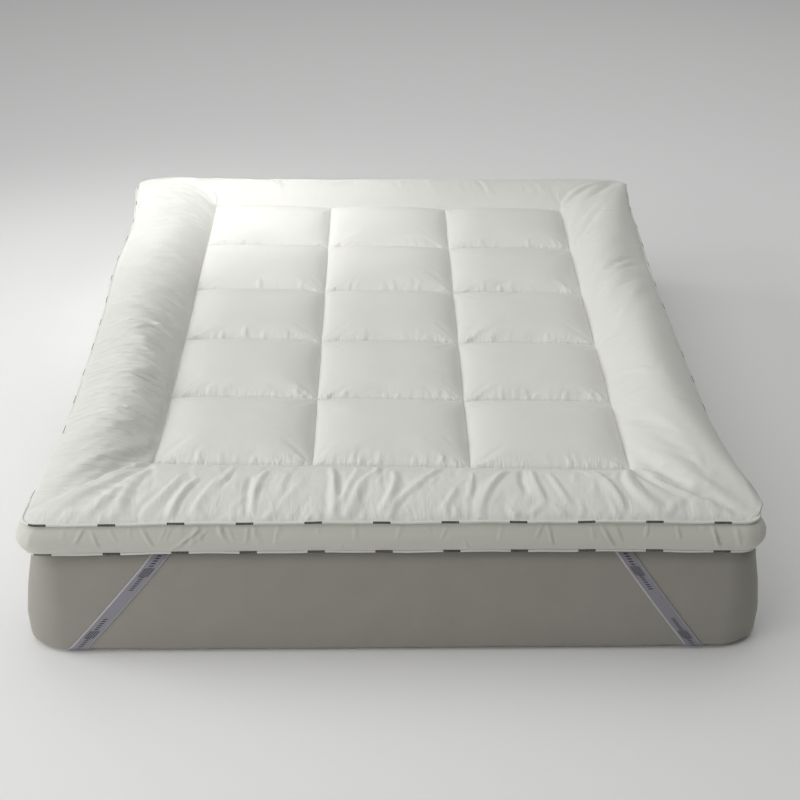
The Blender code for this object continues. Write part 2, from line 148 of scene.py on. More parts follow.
# ---- folds ----
# Creases that the cloth is laid in before it is filled, on the plain rectangle, from one end to the other.
# bow: how far the crease's middle stands off its straight line, to the right. A negative height is a furrow.
# A tapered one is highest where it starts, at a seam.
Crease = namedtuple("Crease", "s0 t0 s1 t1 bow width height tapered", defaults=(False,))
CREASE_TABLE = (
    # the foot's left corner
    (-0.525, -0.776, -0.705, -0.96, -0.012, 0.015, 0.0095),
    (-0.522, -0.8, -0.665, -0.962, -0.01, 0.0072, 0.0068),
    (-0.518, -0.78, -0.712, -0.806, -0.02, 0.0079, 0.0095),
    (-0.52, -0.815, -0.61, -0.985, -0.012, 0.0079, 0.0061),
    (-0.53, -0.768, -0.72, -0.73, -0.012, 0.0072, 0.0054),
    # the foot border, left to right
    (-0.51, -0.82, -0.556, -0.988, 0.006, 0.0079, 0.0068),
    (-0.44, -0.85, -0.512, -0.984, -0.01, 0.0079, 0.0055),
    (-0.402, -0.87, -0.452, -0.99, 0.006, 0.0065, 0.0085),
    (-0.362, -0.86, -0.412, -0.982, 0, 0.0072, 0.0045),
    (-0.332, -0.8, -0.38, -0.935, -0.006, 0.0072, 0.004),
    (-0.3, -0.86, -0.298, -0.99, 0.003, 0.0065, -0.006),
    (-0.262, -0.83, -0.29, -0.99, 0.008, 0.0079, 0.006),
    (-0.405, -0.96, -0.382, -0.992, 0, 0.0055, 0.0035),
    (-0.205, -0.8, -0.235, -0.94, 0.005, 0.0094, 0.003),
    (-0.13, -0.8, -0.122, -0.99, -0.006, 0.0065, 0.0075),
    (-0.112, -0.83, -0.108, -0.93, 0.004, 0.0072, -0.005),
    (-0.072, -0.8, -0.116, -0.965, -0.006, 0.0086, 0.0055),
    (-0.018, -0.8, -0.094, -0.99, 0.012, 0.0086, 0.006),
    (-0.002, -0.82, -0.03, -0.98, -0.016, 0.0086, 0.008),
    (0.062, -0.89, -0.008, -0.99, 0.008, 0.0072, 0.0055),
    (0.115, -0.8, 0.04, -0.925, 0.006, 0.0086, 0.0045),
    (0.132, -0.9, 0.092, -0.98, -0.004, 0.0072, 0.0045),
    (0.122, -0.95, 0.138, -0.99, 0, 0.0055, 0.0035),
    (0.246, -0.82, 0.176, -0.98, 0.006, 0.0094, 0.006),
    (0.282, -0.8, 0.28, -0.925, 0.006, 0.0058, -0.007),
    (0.3, -0.81, 0.318, -0.96, 0.008, 0.0079, 0.006),
    (0.234, -0.955, 0.25, -0.992, 0, 0.0055, 0.0045),
    (0.318, -0.95, 0.276, -0.986, 0, 0.0055, 0.004),
    (0.33, -0.83, 0.364, -0.965, 0.004, 0.0055, 0.005),
    (0.316, -0.95, 0.358, -0.988, -0.004, 0.0055, 0.004),
    (0.392, -0.79, 0.456, -0.99, -0.01, 0.0065, 0.0075),
    (0.402, -0.81, 0.462, -0.985, -0.004, 0.0058, -0.006),
    (0.42, -0.8, 0.472, -0.984, -0.008, 0.0072, 0.008),
    # the foot's right corner
    (0.512, -0.78, 0.55, -0.99, 0.04, 0.0105, 0.01),
    (0.57, -0.945, 0.566, -0.99, 0.01, 0.0055, 0.005),
    (0.52, -0.772, 0.69, -0.9, 0.036, 0.016, 0.0075),
    (0.524, -0.8, 0.682, -0.965, 0.03, 0.015, 0.0062),
    (0.645, -0.925, 0.648, -0.99, 0.008, 0.0058, 0.0045),
    (0.68, -0.94, 0.718, -0.982, 0.004, 0.0058, 0.004),
    (0.512, -0.758, 0.705, -0.8, 0.03, 0.014, 0.0085),
    # the left border
    (-0.512, -0.7, -0.726, -0.668, 0.012, 0.0072, 0.0085),
    (-0.512, -0.64, -0.712, -0.606, 0.01, 0.0065, 0.0078),
    (-0.515, -0.45, -0.71, -0.468, 0.02, 0.0072, 0.0096),
    (-0.512, -0.425, -0.705, -0.43, 0.014, 0.0058, 0.0078),
    (-0.55, -0.375, -0.715, -0.318, 0.004, 0.0079, 0.007),
    (-0.53, -0.13, -0.68, -0.23, 0.006, 0.0072, 0.0059),
    (-0.53, -0.1, -0.62, -0.084, 0.004, 0.0058, 0.0053),
    (-0.65, -0.02, -0.724, 0.04, 0, 0.0065, 0.0053),
    (-0.535, 0.2, -0.61, 0.214, 0.004, 0.0058, 0.0053),
    # the right border
    (0.52, -0.558, 0.706, -0.56, 0.006, 0.0065, 0.0045),
    (0.512, -0.486, 0.625, -0.508, -0.006, 0.0065, 0.004),
    (0.545, -0.362, 0.64, -0.425, -0.008, 0.0086, 0.004),
    (0.522, -0.196, 0.592, -0.2, -0.008, 0.0055, 0.0034),
    # the head's corners
    (-0.52, 0.772, -0.7, 0.96, 0.014, 0.0086, 0.0055),
    (-0.512, 0.78, -0.6, 0.985, 0.012, 0.0079, 0.005),
    (0.52, 0.772, 0.7, 0.96, -0.014, 0.0086, 0.0045),
    (0.522, 0.768, 0.716, 0.82, -0.016, 0.0079, 0.003),
)
CREASES = [Crease(*numbers) for numbers in CREASE_TABLE]

# Small folds that no photograph decides one by one. A kind runs inwards from one edge of the panel.
# turn and spread: their mean lean and its scatter, in degrees. arch: how far they bend towards the head, as a
# share of their length. start: how far from the piping they begin at most. Those at it are highest there.
Gathers = namedtuple("Gathers", "edge count turn spread arch width height furrows start shortest longest")
GATHERS = (
    Gathers("left", 150, -5, 6, 0.05, 0.0052, 0.0062, 0.15, 0.09, 0.08, 0.20),
    Gathers("left", 80, -3, 16, 0.0, 0.0048, 0.0026, 0.25, 0.004, 0.03, 0.07),
    Gathers("right", 46, 3, 8, 0.04, 0.0070, 0.0019, 0.20, 0.09, 0.07, 0.20),
    Gathers("right", 50, 0, 18, 0.0, 0.0055, 0.0020, 0.25, 0.004, 0.03, 0.06),
    Gathers("foot", 30, -12, 18, 0.0, 0.0070, 0.0028, 0.25, 0.09, 0.07, 0.20),
    Gathers("foot", 74, 0, 30, 0.0, 0.0046, 0.0046, 0.30, 0.002, 0.03, 0.08),
    Gathers("foot", 50, -8, 26, 0.0, 0.0050, 0.0026, 0.30, 0.17, 0.02, 0.06),
    Gathers("head", 46, 4, 12, 0.0, 0.0080, 0.0022, 0.25, 0.09, 0.07, 0.20),
    Gathers("head", 60, 0, 25, 0.0, 0.0055, 0.0026, 0.30, 0.004, 0.03, 0.07),
)
PUCKERS_A_BOX = 17  # small gathers over each box's foot seam
PUCKER_HEIGHT = 0.0052
MOST_FOLD = 0.013  # the height that folds lying over each other approach
WAVES = 24  # soft waves of the boxes' filling
SHORTEST_WAVE = 0.05
LONGEST_WAVE = 0.16
FILLING_WAVES = 0.07  # their height as a share of the box's
STEEP_FLANK = 0.65  # of a fold, as a share of its width
GENTLE_FLANK = 1.35
CROSSING_PUCKERS = 4  # and beside each crossing of two seams

# Creases of the gusset at the foot. at: their place from the edge's middle. low, high: where they end, as a
# share of the gusset's height. run: how far they lean along the edge.
Pleat = namedtuple("Pleat", "at low high run width height")
PLEAT_TABLE = (
    (-0.425, 0.05, 0.98, 0.075, 0.0039, 0.0052),
    (-0.395, 0.25, 0.98, 0.055, 0.0033, 0.0029),
    (-0.64, 0.45, 1, 0.024, 0.003, 0.004),
    (-0.61, 0.25, 0.9, -0.016, 0.0029, 0.0039),
    (-0.575, 0.5, 1, -0.02, 0.0027, 0.003),
    (-0.3, 0.35, 1, 0.006, 0.0026, 0.003),
    (-0.285, 0.45, 1, -0.004, 0.0024, 0.0029),
    (-0.24, 0.3, 1, 0.008, 0.0026, 0.0025),
    (-0.505, 0.25, 1, -0.026, 0.0036, 0.0044),
    (-0.47, 0.45, 1, 0.02, 0.0027, 0.003),
    (0.322, 0.2, 1, -0.014, 0.0026, 0.004),
    (0.3, 0.5, 1, 0.016, 0.0024, 0.0032),
    (0.44, 0.15, 1, -0.034, 0.0036, 0.0047),
    (0.462, 0.35, 1, -0.02, 0.003, 0.0034),
    (0.52, 0.5, 1, 0.003, 0.0024, 0.004),
    (0.585, 0.45, 1, -0.01, 0.0027, 0.0037),
    (0.662, 0.2, 1, -0.02, 0.0026, 0.0066),
    (0.01, 0.5, 1, 0.006, 0.0027, 0.0022),
    (0.15, 0, 0.45, -0.01, 0.003, 0.0022),
    (-0.11, 0, 0.4, 0.012, 0.003, 0.0022),
)
PLEATS = [Pleat(*numbers) for numbers in PLEAT_TABLE]
LOOSE_PLEATS = 120  # smaller ones all round
LOOSE_WIDTHS = (0.0030, 0.0050)
LOOSE_HEIGHTS = (0.0008, 0.0026)

# ---- marks, weaves and stitches ----
MARK_PITCH = 0.1400  # from one woven dash of a piping to the next
MARK_LENGTH = 0.036
TOP_MARK = -0.024  # the first dash's place from the middle of the foot edge
BOTTOM_MARK = -0.019
MARK_THREAD_PITCH = 0.0030  # a dash is a row of short threads
MARK_THREAD = 0.0027
MARK_FACING = 0.28  # the dashes' place round the cord, as a share from its underside
MARK_REACH = 0.0036
TWILL_PITCH = 0.0016
STITCH_PITCH = 0.0050
STITCH_LENGTH = 0.0036
STITCH_RADIUS = 0.00038
COTTON_PITCH = 0.0011
SLUBS_ALONG = 40.0  # thicker threads of the cotton in each metre
SLUBS_ACROSS = 700.0
LOOP_WIDTH = 0.0034  # of the mattress's knit
LOOP_HEIGHT = 0.0022
RIB_PITCH = 0.0018  # across the elastic
RIB_SHADE = 0.10
WARP_PITCH = 0.0022  # along it
SELVEDGE_WIDTH = 0.0034
BAR_REPEAT = 0.200  # from one group of woven bars to the next
BAR_MIDDLE = 0.060
BARS_REACH = 0.056  # of the short bars, to both sides of the group's middle
BLOCK_REACH = 0.013
BAR_PITCH = 0.0066
BAR_THICKNESS = 0.0034
BAR_HALF_WIDTH = 0.0036
BLOCK_HALF_WIDTH = 0.0090
BLOCK_BAR_PITCH = 0.0042
BLOCK_BAR = 0.0025
# The finest gathers: how often they come across and along the panel in each metre, detail and distortion.
FINE_GATHERS = (
    ((8.0, 52.0, 1.0), 2.0, 0.35),  # in the long borders
    ((36.0, 13.0, 1.0), 2.0, 0.8),  # in the head's and the foot's
    ((85.0, 34.0, 1.0), 1.0, 0.5),  # beside the boxes' seams
)

# ---- the photograph's view ----
CAMERA_PLACE = (-0.0684, -3.7251, 2.0737)
CAMERA_PITCH = math.radians(28.212)  # below the horizontal
CAMERA_YAW = math.radians(1.548)  # towards +X
CAMERA_ROLL = math.radians(-0.55)
FOCAL_LENGTH = 71.15  # millimetres
SENSOR_WIDTH = 36.0
FLOOR_HALF = 30.0


# ---- settings ----
def colour(name, default, description):
    limits = dict(subtype="COLOR", min=0.0, max=1.0)
    return FloatVectorProperty(name=name, description=description, default=default, **limits)


def number(name, default, description, **limits):
    return FloatProperty(name=name, description=description, default=default, min=0.0, **limits)


def whole(name, default, description, **limits):
    return IntProperty(name=name, description=description, default=default, min=0, **limits)


def length(name, default, description):
    return number(name, default, description, unit="LENGTH")


class TopperSizes(bpy.types.PropertyGroup):
    """How full and how finely the topper is made"""

    box_crown: length("Box crown", 0.026, "Height of a stitched box above its seams before filling")
    border_crown: length("Border crown", 0.0365, "Height of the border before filling")
    cell: length("Cloth cell", 0.0055, "Spacing of the top panel's points")
    border_cell: length("Border cell", 0.0075, "The same in the border, in the direction away from the boxes")
    gusset_cell: length("Gusset cell", 0.0037, "Spacing of the gusset's points")
    slack: number("Slack", 0.002, "Spare cloth in the top panel and the gusset", subtype="FACTOR", max=0.2)
    pressure: number("Filling", 4.0, "Push of the filling on the cloth")
    frames: whole("Steps", 10, "Steps of the panel's cloth simulation", max=60)
    gusset_frames: whole("Gusset steps", 6, "Steps of the gusset's cloth simulation", max=60)
    seed: whole("Folds", 7, "Choice of the small folds")


class TopperColours(bpy.types.PropertyGroup):
    """Colours of the cloths and the stage"""

    cotton: colour("Cotton", (0.803, 0.803, 0.757), "Top panel")
    cotton_shade: colour("Cotton shade", (0.763, 0.763, 0.718), "Where the cotton is a little duller")
    # The side band's two colours are the top panel's cotton painted darker and warmer: painted shade and warm
    # bounced light on its upright face. The second is also where the band is a little duller, at random.
    gusset: colour("Gusset", (0.725, 0.716, 0.648), "Side band")
    gusset_shade: colour("Gusset shade", (0.680, 0.672, 0.606), "Where the side band is a little duller")
    piping: colour("Piping", (0.84, 0.84, 0.80), "Cord cover")
    mark: colour("Piping dash", (0.02, 0.02, 0.02), "Plain woven dashes on the piping")
    thread: colour("Thread", (0.74, 0.73, 0.69), "Quilting thread")
    elastic: colour("Elastic", (0.36, 0.35, 0.40), "Middle of the straps")
    selvedge: colour("Selvedge", (0.60, 0.59, 0.63), "Edges of the straps")
    elastic_bar: colour("Woven bar", (0.035, 0.035, 0.04), "Plain bars woven into the straps")
    mattress: colour("Mattress", (0.378, 0.362, 0.316), "Mattress cover")
    mattress_shade: colour("Mattress shade", (0.338, 0.323, 0.282), "The knit's darker loops")
    floor: colour("Floor", (0.93, 0.93, 0.925), "Floor")


class StageSettings(bpy.types.PropertyGroup):
    """Lights"""

    head: number("Head", 2.6, "Power of the light at the left of the head")
    left: number("Left", 13.6, "Power of the light at the left")
    foot: number("Foot", 13.6, "Power of the light at the left of the foot")
    front: number("Front", 11.0, "Power of the soft light before the foot")
    patch: number("Patch", 1.0, "Power of the narrow light on the head's left")
    ceiling: number("Ceiling", 228.0, "Power of the wide light above")
    room: number("Room", 0.07, "Strength of the light from all round")


# ---- shader nodes ----
class Signal:
    """A node's output, which adds, multiplies and compares like a number."""

    def __init__(self, tree, output):
        self.tree, self.output = tree, output

    def maths(self, operation, *others):
        return add_node(self.tree, "ShaderNodeMath", dict(enumerate((self, *others))), operation=operation)

    def __rsub__(self, other):
        return self * -1.0 + other

    __add__ = partialmethod(maths, "ADD")
    __sub__ = partialmethod(maths, "SUBTRACT")
    __mul__ = partialmethod(maths, "MULTIPLY")
    __mod__ = partialmethod(maths, "FLOORED_MODULO")
    __pow__ = partialmethod(maths, "POWER")
    __abs__ = partialmethod(maths, "ABSOLUTE")
    __lt__ = partialmethod(maths, "LESS_THAN")
    __gt__ = partialmethod(maths, "GREATER_THAN")


def feed(node, inputs):
    """Links a node's inputs to signals, or sets their values."""
    for name, value in inputs.items():
        if isinstance(value, Signal):
            value.tree.links.new(value.output, node.inputs[name])
        else:
            node.inputs[name].default_value = value


def add_node(tree, kind, inputs, output=0, **settings):
    node = tree.nodes.new(kind)
    for name, value in settings.items():
        setattr(node, name, value)
    feed(node, inputs)
    return Signal(tree, node.outputs[output])


def stretched(vector, scale):
    return add_node(vector.tree, "ShaderNodeMapping", {"Vector": vector, "Scale": scale})


def coordinates(tree, kind, scale=(1.0, 1.0, 1.0)):
    """The "Object" or the "UV" coordinates, scaled."""
    return stretched(add_node(tree, "ShaderNodeTexCoord", {}, kind), scale)


def attribute(tree, name):
    return add_node(tree, "ShaderNodeAttribute", {}, "Vector", attribute_name=name)


def split(vector):
    """A vector's three parts."""
    node = vector.tree.nodes.new("ShaderNodeSeparateXYZ")
    feed(node, {0: vector})
    return [Signal(vector.tree, output) for output in node.outputs]


def noise(vector, scale, detail=2.0, roughness=0.5, distortion=0.0):
    inputs = {"Vector": vector, "Scale": scale, "Detail": detail}
    inputs.update({"Roughness": roughness, "Distortion": distortion})
    return add_node(vector.tree, "ShaderNodeTexNoise", inputs)


def mixed(factor, first, second):
    """A colour between two, each a signal or three numbers."""
    first, second = (one if isinstance(one, Signal) else (*one, 1.0) for one in (first, second))
    inputs = {"Factor": factor, 6: first, 7: second}
    return add_node(factor.tree, "ShaderNodeMix", inputs, 2, data_type="RGBA")


def bump(height, distance, strength, below=None):
    """The normals of a surface that is raised by a height, over those of a bump below it."""
    inputs = {"Height": height, "Distance": distance, "Strength": strength}
    if below:
        inputs["Normal"] = below
    return add_node(height.tree, "ShaderNodeBump", inputs)


def waves(place, pitch):
    return (place * (2 * math.pi / pitch)).maths("SINE")


def threads(along, across, pitch, cross_pitch):
    """A plain weave: two sets of threads that pass over and under each other."""
    return waves(along, pitch) * waves(across, cross_pitch)


def crests(value):
    """Sharp crests where a noise passes its middle."""
    return (1.0 - abs(value - 0.5)) ** 3.0


# ---- materials ----
def new_material(name):
    made = bpy.data.materials.new(name)
    made.use_nodes = True
    return made, made.node_tree, made.node_tree.nodes["Principled BSDF"]


def cotton_material(name, cloth, shade, kind, size=(1.0, 1.0)):
    """Fine white cotton with a faint sheen, soft crinkles and a plain weave."""
    made, tree, shader = new_material(name)
    solid = coordinates(tree, "Object")
    along, across, _ = split(coordinates(tree, kind, (*size, 1.0)))
    slubs = coordinates(tree, kind, (size[0] * SLUBS_ALONG, size[1] * SLUBS_ACROSS, SLUBS_ALONG))
    normal = bump(noise(solid, 55.0, detail=4.0, roughness=0.55), distance=0.0011, strength=0.55)
    normal = bump(noise(slubs, 1.0), distance=0.00012, strength=0.5, below=normal)
    weave = threads(along, across, COTTON_PITCH, COTTON_PITCH)
    normal = bump(weave, distance=0.00006, strength=0.6, below=normal)
    feed(shader, {"Normal": normal, "Base Color": mixed(noise(solid, 6.0, detail=3.0), cloth, shade)})
    feed(shader, {"Roughness": 0.75, "Specular IOR Level": 0.12})
    feed(shader, {"Sheen Weight": 0.06, "Sheen Roughness": 0.45})
    return made


def panel_material(colours):
    """The cotton of the top panel, with the finest gathers that its seams draw into it."""
    made = cotton_material("cotton_sateen", colours.cotton, colours.cotton_shade, "Object")
    tree = made.node_tree
    shader = tree.nodes["Principled BSDF"]
    cut, height = attribute(tree, "cut"), 0.0
    for amount, (scale, detail, distortion) in zip(split(attribute(tree, "gathered")), FINE_GATHERS):
        height = crests(noise(stretched(cut, scale), 1.0, detail, 0.5, distortion)) * amount + height
    before = Signal(tree, shader.inputs["Normal"].links[0].from_socket)
    feed(shader, {"Normal": bump(height, distance=0.0050, strength=0.45, below=before)})
    return made


def piping_material(name, colours, perimeter, first_mark):
    """A cord in a bias-cut cover, with plain dark dashes woven in at even steps."""
    made, tree, shader = new_material(name)
    girth = 2 * math.pi * PIPING_RADIUS
    run, around, _ = split(coordinates(tree, "UV", (perimeter, girth, 1.0)))
    place = (run - (first_mark - MARK_LENGTH / 2)) % MARK_PITCH
    facing = ((around + 0.25 * girth) % girth).maths("COMPARE", MARK_FACING * girth, MARK_REACH)
    dash = (place < MARK_LENGTH) * (place % MARK_THREAD_PITCH < MARK_THREAD) * facing
    cover = mixed(noise(coordinates(tree, "Object"), 30.0), colours.piping, colours.cotton_shade)
    ribs = bump(waves(run + around, TWILL_PITCH), distance=0.00015, strength=0.6)
    feed(shader, {"Base Color": mixed(dash, cover, colours.mark), "Normal": ribs})
    feed(shader, {"Roughness": 0.6, "Sheen Weight": 0.15})
    return made


def thread_material(colours):
    made, tree, shader = new_material("quilting_thread")
    solid = coordinates(tree, "Object")
    twist = bump(noise(solid, 2200.0, detail=1.0), distance=0.0001, strength=0.6)
    body = mixed(noise(solid, 300.0), colours.thread, colours.cotton)
    feed(shader, {"Base Color": body, "Normal": twist, "Roughness": 0.45})
    return made


def elastic_material(name, colours, strap_length):
    """Ribbed elastic with paler selvedges and plain woven bars, short ones and blocks of long ones."""
    made, tree, shader = new_material(name)
    run, across, _ = split(coordinates(tree, "UV", (strap_length, STRAP_WIDTH, 1.0)))
    from_middle = abs(across - STRAP_WIDTH / 2)
    place = run % BAR_REPEAT
    block = place.maths("COMPARE", BAR_MIDDLE, BLOCK_REACH)
    short = (place % BAR_PITCH < BAR_THICKNESS) * place.maths("COMPARE", BAR_MIDDLE, BARS_REACH)
    short = short * (1.0 - block) * (from_middle < BAR_HALF_WIDTH)
    long = block * (from_middle < BLOCK_HALF_WIDTH) * (across % BLOCK_BAR_PITCH < BLOCK_BAR)
    ribs = waves(run, RIB_PITCH)
    body = mixed(from_middle > STRAP_WIDTH / 2 - SELVEDGE_WIDTH, colours.elastic, colours.selvedge)
    body = mixed((ribs + 1.0) * RIB_SHADE, body, colours.elastic_bar)
    normal = bump(ribs, distance=0.00025, strength=0.7)
    normal = bump(waves(across, WARP_PITCH), distance=0.0002, strength=0.4, below=normal)
    body = mixed(short.maths("MAXIMUM", long), body, colours.elastic_bar)
    feed(shader, {"Base Color": body, "Normal": normal, "Roughness": 0.5, "Sheen Weight": 0.2})
    return made


def mattress_material(colours):
    """A plain fine knit, with soft unevenness."""
    made, tree, shader = new_material("mattress_knit")
    solid = coordinates(tree, "Object")
    x, y, z = split(solid)
    normal = bump(noise(solid, 9.0, detail=3.0), distance=0.006, strength=0.35)
    normal = bump(noise(solid, 260.0, detail=3.0), distance=0.0006, strength=0.35, below=normal)
    normal = bump(threads(x + y, z, LOOP_WIDTH, LOOP_HEIGHT), distance=0.0002, strength=0.5, below=normal)
    base = mixed(noise(solid, 14.0, detail=4.0), colours.mattress, colours.mattress_shade)
    feed(shader, {"Base Color": base, "Normal": normal, "Roughness": 0.88, "Sheen Weight": 0.25})
    return made


# ---- the topper's plan ----
def clipped(share):
    return np.clip(share, 0.0, 1.0)


def bell(distance, reach):
    """From 1 down to about a third at reach, and to nothing beyond."""
    return np.exp(-((distance / reach) ** 2))


def margins(s, t):
    """Distances from the panel's long sides and from its ends."""
    return HALF_WIDTH - abs(s), HALF_LENGTH - abs(t)


def rounded(s, t):
    """Points of the plain rectangle, moved to their places in one with round corners."""
    from_side, from_end = margins(s, t)
    p, q = clipped(1 - from_side / CORNER), clipped(1 - from_end / CORNER)
    x = abs(s) - CORNER * p * (1 - np.sqrt(1 - q * q / 2))
    y = abs(t) - CORNER * q * (1 - np.sqrt(1 - p * p / 2))
    return np.copysign(x, s), np.copysign(y, t)


def plan(s, t):
    """Where points of the plain rectangle lie on the mattress: its ears, drawn-in sides and skewed boxes."""
    x, y = rounded(s, t)
    from_side, from_end = margins(x, y)
    ear = bell(from_side, EAR_REACH) * bell(from_end, EAR_REACH)
    swell = np.zeros_like(x)
    for one in SWELLS:
        stretch = one.out * bell(t - one.at, one.reach) * (s / HALF_WIDTH) ** 4
        swell += np.where(s * one.side > 0, stretch, 0.0)
    stitched = np.minimum(1.0, np.minimum(*margins(s, t)) / BORDER_WIDTH)
    skew_x = STITCH_SHIFT + COLUMN_SKEW * np.clip(t, -INNER_HALF_LENGTH, INNER_HALF_LENGTH)
    skew_y = ROW_SKEW * np.clip(s, -INNER_HALF_WIDTH, INNER_HALF_WIDTH)
    x = x + TOPPER_SHIFT + np.copysign(EAR_X * ear + swell, s) + skew_x * stitched
    y = y + np.copysign(EAR_Y * ear, t) + skew_y * stitched
    return x, y


def outline(count):
    """Even steps round the topper, counterclockwise from the middle of the head edge: places and normals.

    Also returns each place's distance from the start, and the whole distance round."""
    fine = 8000
    corners = ((0, 1), (-1, 1), (-1, -1), (1, -1), (1, 1), (0, 1))
    s = np.concatenate([np.linspace(a[0], b[0], fine) for a, b in zip(corners, corners[1:])]) * HALF_WIDTH
    t = np.concatenate([np.linspace(a[1], b[1], fine) for a, b in zip(corners, corners[1:])]) * HALF_LENGTH
    x, y = plan(s, t)
    walked = np.concatenate([[0.0], np.cumsum(np.hypot(np.diff(x), np.diff(y)))])
    at = np.linspace(0.0, walked[-1], count + 1)
    places = np.stack([np.interp(at, walked, x), np.interp(at, walked, y)], axis=1)
    ahead = np.roll(places[:-1], -1, axis=0) - np.roll(places[:-1], 1, axis=0)
    ahead /= np.linalg.norm(ahead, axis=1)[:, None]
    normals = np.stack([ahead[:, 1], -ahead[:, 0]], axis=1)
    normals = np.concatenate([normals, normals[:1]])
    return places, normals, at, walked[-1]


# ---- the topper's form before it is filled ----
def rise(distance, reach, fullness=0.5):
    """From 0 at a seam to 1 at reach, steep at first."""
    return (1 - (1 - clipped(distance / reach)) ** 2) ** fullness


def from_seam(place, half, box):
    """Distance from a place inside the stitched middle to the nearest seam across that direction."""
    inside = (place + half) % box
    return np.minimum(inside, box - inside)


def ridge(ratio):
    """A fold's section: 1 on its narrow back, a shallow hollow at 1.7 widths beside it."""
    return np.exp(-1.1 * ratio**1.4) - 0.22 * np.exp(-2.2 * (ratio - 1.7) ** 2)


def crease_height(s, t, crease):
    """How high one crease stands at each point."""
    run_s, run_t = crease.s1 - crease.s0, crease.t1 - crease.t0
    reach = math.hypot(run_s, run_t)
    along = ((s - crease.s0) * run_s + (t - crease.t0) * run_t) / reach**2
    off = ((s - crease.s0) * run_t - (t - crease.t0) * run_s) / reach
    share = clipped(along)
    off -= 4 * crease.bow * share * (1 - share)
    if crease.tapered:
        fade = (1 - share) * clipped(along / 0.04 + 0.6)
    else:
        fade = 1 - (2 * share - 1) ** 4
    steep_side = 1 if crease.s0 % 0.002 < 0.001 else -1  # one side or the other, by the crease's place
    width = crease.width * (0.75 + 0.5 * share) * np.where(off * steep_side > 0, STEEP_FLANK, GENTLE_FLANK)
    return crease.height * fade * ridge(abs(off) / width)


def random_creases(rng):
    """The small folds of each border, and the puckers beside the stitched seams."""
    found = []
    for kind in GATHERS:
        half = HALF_LENGTH if kind.edge in ("left", "right") else HALF_WIDTH
        for place in rng.uniform(0.02 - half, half - 0.02, kind.count):
            start = rng.uniform(0.0, kind.start)
            reach = min(rng.uniform(kind.shortest, kind.longest), BORDER_WIDTH - start)
            turn = math.radians(rng.normal(kind.turn, kind.spread))
            along, inward = reach * math.sin(turn), reach * math.cos(turn)
            height = kind.height * rng.uniform(0.3, 1.0) * (-1 if rng.random() < kind.furrows else 1)
            width = kind.width * rng.uniform(0.6, 1.3)
            bow = reach * (rng.normal(0.0, 0.04) + (kind.arch if kind.edge == "right" else -kind.arch))
            ends = {
                "left": (start - HALF_WIDTH, place, start + inward - HALF_WIDTH, place + along),
                "right": (HALF_WIDTH - start, place, HALF_WIDTH - start - inward, place - along),
                "foot": (place, start - HALF_LENGTH, place - along, start + inward - HALF_LENGTH),
                "head": (place, HALF_LENGTH - start, place + along, HALF_LENGTH - start - inward),
            }
            found.append(Crease(*ends[kind.edge], bow, width, height, kind.start < 0.01))
    return found


def random_puckers(rng):
    """Short gathers that stand on the boxes' seams, most of them on the seam at a box's foot."""
    found = []
    for column in range(BOX_COLUMNS):
        for row in range(BOX_ROWS):
            left, foot = column * BOX_WIDTH - INNER_HALF_WIDTH, row * BOX_LENGTH - INNER_HALF_LENGTH
            for place in rng.uniform(0.02, BOX_WIDTH - 0.02, PUCKERS_A_BOX):
                reach, turn = rng.uniform(0.015, 0.060), rng.normal(0.0, 0.20)
                end = (left + place + reach * math.sin(turn), foot + reach * math.cos(turn))
                height = PUCKER_HEIGHT * rng.uniform(0.2, 1.0) ** 1.5
                found.append(Crease(left + place, foot, *end, 0.0, rng.uniform(0.0032, 0.0048), height, True))
            for corner, lean in ((left, 1), (left + BOX_WIDTH, -1)):
                for _ in range(CROSSING_PUCKERS):
                    turn = lean * math.radians(rng.uniform(25, 75))
                    reach = rng.uniform(0.018, 0.045)
                    start = corner + lean * rng.uniform(0.004, 0.03)
                    end = (start + reach * math.sin(turn), foot + reach * math.cos(turn))
                    height = PUCKER_HEIGHT * rng.uniform(0.4, 0.9)
                    found.append(Crease(start, foot, *end, 0.0, 0.0038, height, True))
    return found


def unevenness(s, t, rng):
    """Soft, broad waves of the filling, seldom past 1 or -1."""
    total = np.zeros_like(s)
    for _ in range(WAVES):
        turn, pitch = rng.uniform(0, math.pi), rng.uniform(SHORTEST_WAVE, LONGEST_WAVE)
        across = s * math.cos(turn) + t * math.sin(turn)
        total += np.cos(2 * math.pi * (across / pitch + rng.random()))
    return total / WAVES**0.5 / 2


def folded(s, t, creases):
    """The heights of many creases that lie over each other."""
    total = np.zeros_like(s)
    for crease in creases:
        total += crease_height(s, t, crease)
    return total


